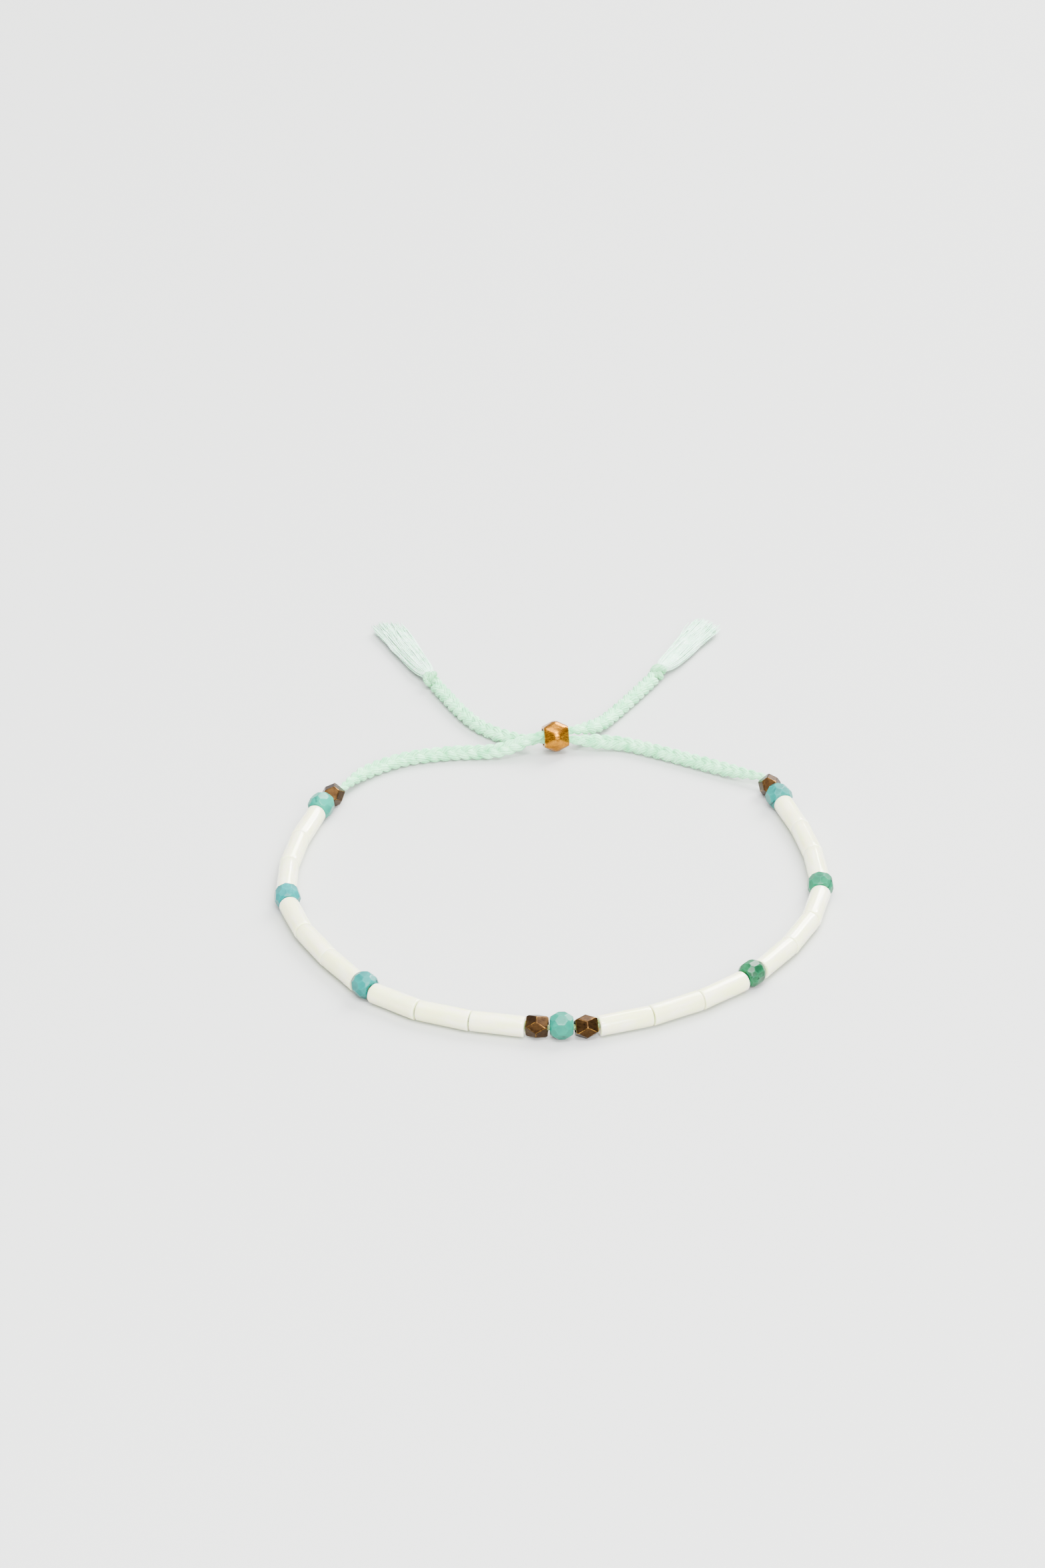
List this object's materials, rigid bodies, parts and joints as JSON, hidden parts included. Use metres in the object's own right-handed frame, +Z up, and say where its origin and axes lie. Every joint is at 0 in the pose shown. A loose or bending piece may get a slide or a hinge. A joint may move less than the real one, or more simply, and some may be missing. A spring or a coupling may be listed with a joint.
{
  "type": "beaded bracelet",
  "caption": "Adjustable bracelet of tubes, faceted stones and brass beads on a thread, closed by two braids that cross in a sliding bead and end in tassels.",
  "frame": {"origin": "centre of the bead loop's bounding box in plan, at the surface the bracelet lies on", "axes": "+Z up from the surface; +Y from the front stone to the sliding bead, so the loop's tails point along +Y; +X to the right as seen from the front stone's side"},
  "size_m": [0.0534, 0.0818, 0.0034],
  "materials": {
    "tube_cream": "gloss",
    "stone_turquoise": "polished",
    "brass_dark": "satin",
    "brass_golden": "polished",
    "braid_mint": "matte",
    "thread_green": "matte"
  },
  "bodies": {
    "root": {"bead_thread": "thread_green", "slider_bead": "brass_golden", "left_braid": "braid_mint", "right_braid": "braid_mint", "left_knot": "braid_mint", "right_knot": "braid_mint", "left_tassel": "braid_mint", "right_tassel": "braid_mint", "brass_bead_1": "brass_dark", "brass_bead_2": "brass_dark", "brass_bead_3": "brass_dark", "brass_bead_4": "brass_dark", "stone_bead_1": "stone_turquoise", "stone_bead_2": "stone_turquoise", "stone_bead_3": "stone_turquoise", "stone_bead_4": "stone_turquoise", "stone_bead_5": "stone_turquoise", "stone_bead_6": "stone_turquoise", "stone_bead_7": "stone_turquoise", "tube_bead_01": "tube_cream", "tube_bead_02": "tube_cream", "tube_bead_03": "tube_cream", "tube_bead_04": "tube_cream", "tube_bead_05": "tube_cream", "tube_bead_06": "tube_cream", "tube_bead_07": "tube_cream", "tube_bead_08": "tube_cream", "tube_bead_09": "tube_cream", "tube_bead_10": "tube_cream", "tube_bead_11": "tube_cream", "tube_bead_12": "tube_cream", "tube_bead_13": "tube_cream", "tube_bead_14": "tube_cream", "tube_bead_15": "tube_cream", "tube_bead_16": "tube_cream", "tube_bead_17": "tube_cream", "tube_bead_18": "tube_cream"}
  },
  "joints": []
}
